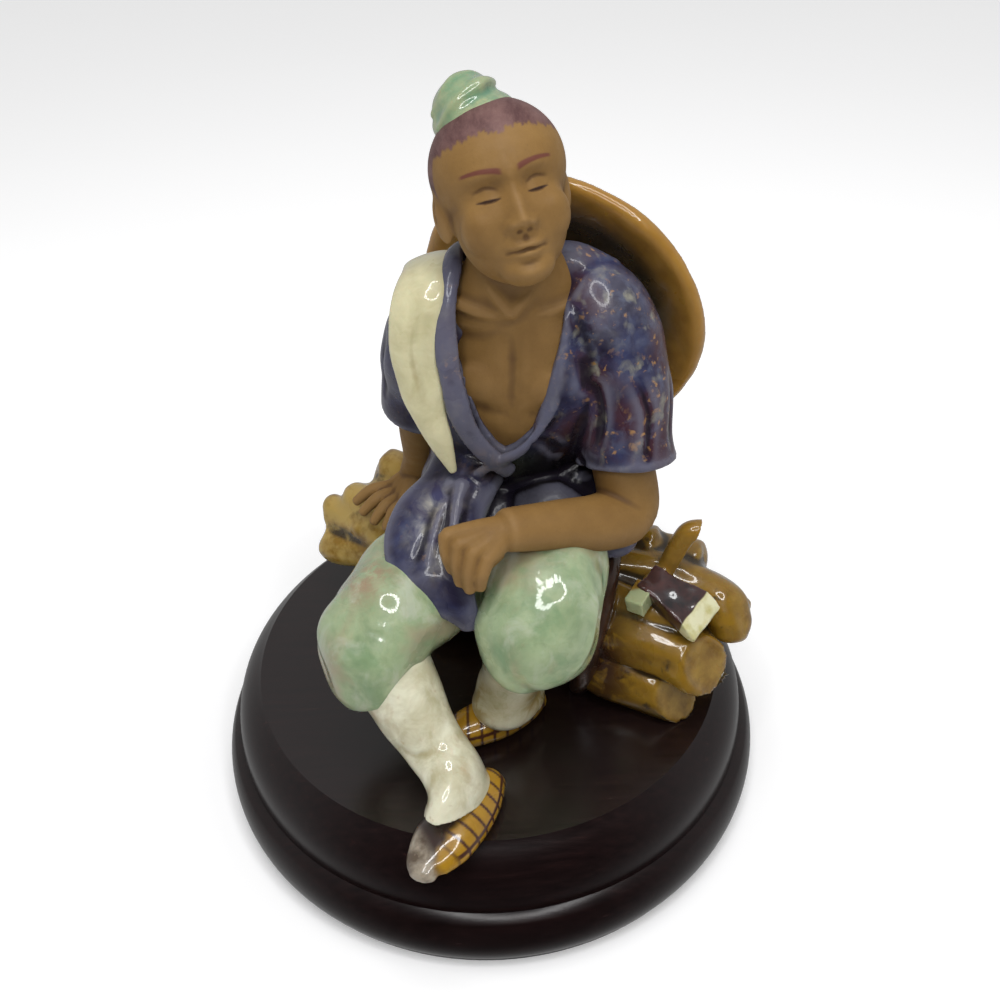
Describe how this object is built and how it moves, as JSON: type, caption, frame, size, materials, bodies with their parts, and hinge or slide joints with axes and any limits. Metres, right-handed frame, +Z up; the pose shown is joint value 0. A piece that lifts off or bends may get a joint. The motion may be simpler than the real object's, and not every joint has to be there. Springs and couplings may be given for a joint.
{
  "type": "seated woodcutter figurine",
  "caption": "Glazed clay figurine of a woodcutter resting on a bundle of firewood with his axe and hat, on a round turned wooden stand.",
  "frame": {"origin": "middle of the stand's round underside, on the surface it stands on", "axes": "+Z up; -Y towards the viewer, the side his knees and face point to; +X towards his left hand and the axe"},
  "size_m": [0.13, 0.13, 0.1613],
  "materials": {
    "rosewood": "satin",
    "glazed_clay": "glossy"
  },
  "bodies": {
    "root": {"wooden_stand": "rosewood", "woodcutter_figure": "glazed_clay"}
  },
  "joints": []
}
